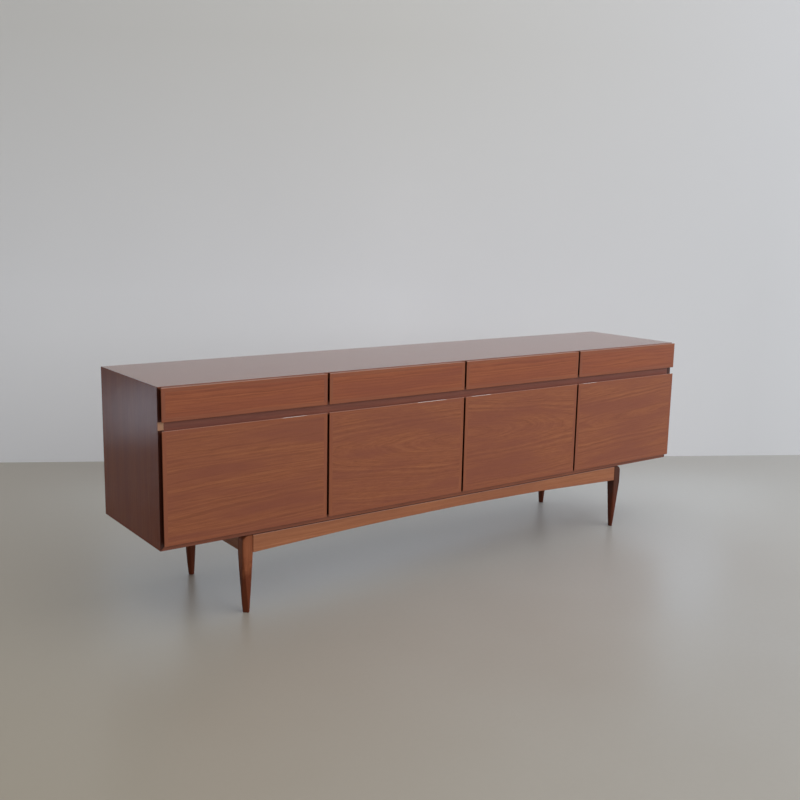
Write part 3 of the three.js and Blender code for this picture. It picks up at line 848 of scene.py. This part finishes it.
def floor_material():
    """A smooth pale floor with faint specks, warmer at the left."""
    material, tree, shader = new_material("pale_floor")
    place = add(tree, "TexCoord").outputs["Object"]
    clouds = noise(tree, place, (0.9, 0.9, 0.9), 5.0, 0.55)
    specks = noise(tree, place, (60, 60, 60), 3.0)
    colour = clouded(tree, clouds, FLOOR_TONES)
    colour = mixed(tree, band(tree, specks, 0.3, 0.7, 0.0, 0.12), colour, linear(*FLOOR_SPECK))
    across = add(tree, "SeparateXYZ", {0: place}).outputs["X"]
    colour = mixed(tree, band(tree, across, *FLOOR_WARM_ENDS, 0.8, 0.0), colour, linear(*FLOOR_WARM))
    tree.links.new(colour, shader.inputs["Base Color"])
    tree.links.new(band(tree, clouds, 0.3, 0.7, 0.3, 0.42), shader.inputs["Roughness"])
    return material


def wall_material():
    """Pale plaster, darker higher up and towards the right as painted shade, seen from the room's side only,
    so that views from behind aren't blocked.
    """
    material, tree, shader = new_material("pale_wall")
    output = tree.nodes["Material Output"]
    place = add(tree, "TexCoord").outputs["Object"]
    clouds = noise(tree, place, (0.6, 0.6, 0.6), 3.0)
    colour = clouded(tree, clouds, WALL_TONES)
    height = add(tree, "SeparateXYZ", {0: place}).outputs["Z"]
    colour = mixed(tree, band(tree, height, *WALL_HIGH_STARTS), colour, linear(*WALL_HIGH_SHADE))
    across = add(tree, "SeparateXYZ", {0: place}).outputs["X"]
    colour = mixed(tree, band(tree, across, *WALL_RIGHT_STARTS), colour, linear(*WALL_RIGHT_SHADE))
    tree.links.new(colour, shader.inputs["Base Color"])
    shader.inputs["Roughness"].default_value = 0.9
    shader.inputs["Specular IOR Level"].default_value = 0.2
    shader.inputs["Emission Color"].default_value = (0.93, 0.97, 1.05, 1)
    shader.inputs["Emission Strength"].default_value = 0.11
    clear = add(tree, "BsdfTransparent")
    behind = add(tree, "NewGeometry").outputs["Backfacing"]
    sides = add(tree, "MixShader", {0: behind, 1: shader.outputs[0], 2: clear.outputs[0]})
    tree.links.new(sides.outputs[0], output.inputs["Surface"])
    return material


FLOOR_HALF = 14.0
floor_signs = ((-1, -1), (1, -1), (1, 1), (-1, 1))
plane("floor", [(FLOOR_HALF * x, FLOOR_HALF * y, 0) for x, y in floor_signs], floor_material())
WALL_DISTANCE = 1.514  # from the origin to the wall, at a right angle
WALL_TURN = math.radians(29.1)
WALL_HALF, WALL_HEIGHT = 8.0, 4.2
wall_middle = WALL_DISTANCE * Vector((math.sin(WALL_TURN), math.cos(WALL_TURN), 0))
wall_run = WALL_HALF * Vector((math.cos(WALL_TURN), -math.sin(WALL_TURN), 0))
left, right = wall_middle - wall_run, wall_middle + wall_run
rise = WALL_HEIGHT * Z
plane("wall", [left, right, right + rise, left + rise], wall_material())


def soft_light(name, place, target, size, power, colour):
    """A rectangular light that shines from its place towards its target, in watts."""
    data = bpy.data.lights.new(name, "AREA")
    data.shape = "RECTANGLE"
    data.size, data.size_y = size
    data.energy = power
    data.color = colour
    made = bpy.data.objects.new(name, data)
    made.location = place
    made.rotation_euler = (Vector(target) - Vector(place)).to_track_quat("-Z", "Y").to_euler()
    made.visible_camera = False
    bpy.context.scene.collection.objects.link(made)
    return made


def light_top(light, state):
    """Lets a light fall on the top board alone (INCLUDE) or on everything else (EXCLUDE)."""
    lit = bpy.data.collections.new(f"{light.name}_lit")
    lit.objects.link(top_board)
    lit.collection_objects[0].light_linking.link_state = state
    light.light_linking.receiver_collection = lit


# A second window lights the top board, with no mirror image to hide its wood in views from behind
WINDOW = ((2.7, -5.8, 2.9), (0, 0, 0.5), (8.5, 3.8), 262, (0.93, 0.965, 1.0))
light_top(soft_light("window", *WINDOW), "EXCLUDE")
top_window = soft_light("window_on_top", *WINDOW)
top_window.visible_glossy = False
light_top(top_window, "INCLUDE")
soft_light("wall_bounce", (0.66, 0.81, 0.6), (0.125, -0.15, 0), (3.2, 0.3), 5.0, (0.62, 0.8, 1.0))
soft_light("doorway", (4.3, -1.3, 1.0), (0.6, 0.2, 0.0), (1.6, 1.4), 10, (0.6, 0.8, 1.0))
soft_light("glint_card", (-2.2, 2.22, 0.22), (-1.2, -0.2, 0.72), (0.3, 0.3), 1.1, (0.66, 0.82, 1.0))
soft_light("ceiling", (0.5, -1.6, 4.6), (0, -0.4, 0), (7.0, 5.0), 60, (0.98, 0.99, 1.0))

world = bpy.data.worlds.new("room")
world.use_nodes = True
background = world.node_tree.nodes["Background"]
background.inputs["Color"].default_value = (*linear(*ROOM_TONE), 1)
# Dim at the left and behind, bright at the right and in front
BRIGHT_WAY = (0.72, -0.64, 0.27)
DIMMEST, BRIGHTEST = 0.16, 0.64
toward = add(world.node_tree, "TexCoord").outputs["Generated"]
facing = add(world.node_tree, "VectorMath", {0: toward, 1: BRIGHT_WAY}, operation="DOT_PRODUCT")
strength = band(world.node_tree, facing.outputs["Value"], -0.8, 0.8, DIMMEST, BRIGHTEST)
world.node_tree.links.new(strength, background.inputs["Strength"])
bpy.context.scene.world = world
bpy.context.scene.view_settings.view_transform = "Standard"

# ---- Camera ----

CAMERA_PLACE = (-2.3651, -3.0561, 1.3126)
CAMERA_TURNS = (36.335, 10.346, 1.1816)  # yaw to the right of +Y, pitch down and roll, in degrees
SENSOR_WIDTH = 36.0
LENS = 44.87

yaw, pitch, roll = (math.radians(a) for a in CAMERA_TURNS)
ahead = Vector((math.sin(yaw) * math.cos(pitch), math.cos(yaw) * math.cos(pitch), -math.sin(pitch)))
level_right = Vector((math.cos(yaw), -math.sin(yaw), 0))
level_up = level_right.cross(ahead)
camera_right = math.cos(roll) * level_right + math.sin(roll) * level_up
camera_up = math.cos(roll) * level_up - math.sin(roll) * level_right
camera_data = bpy.data.cameras.new("camera")
camera_data.sensor_width = SENSOR_WIDTH
camera_data.lens = LENS
camera = bpy.data.objects.new("camera", camera_data)
axes = Matrix((camera_right, camera_up, -ahead)).transposed().to_4x4()
camera.matrix_world = Matrix.Translation(CAMERA_PLACE) @ axes
bpy.context.scene.collection.objects.link(camera)
bpy.context.scene.camera = camera
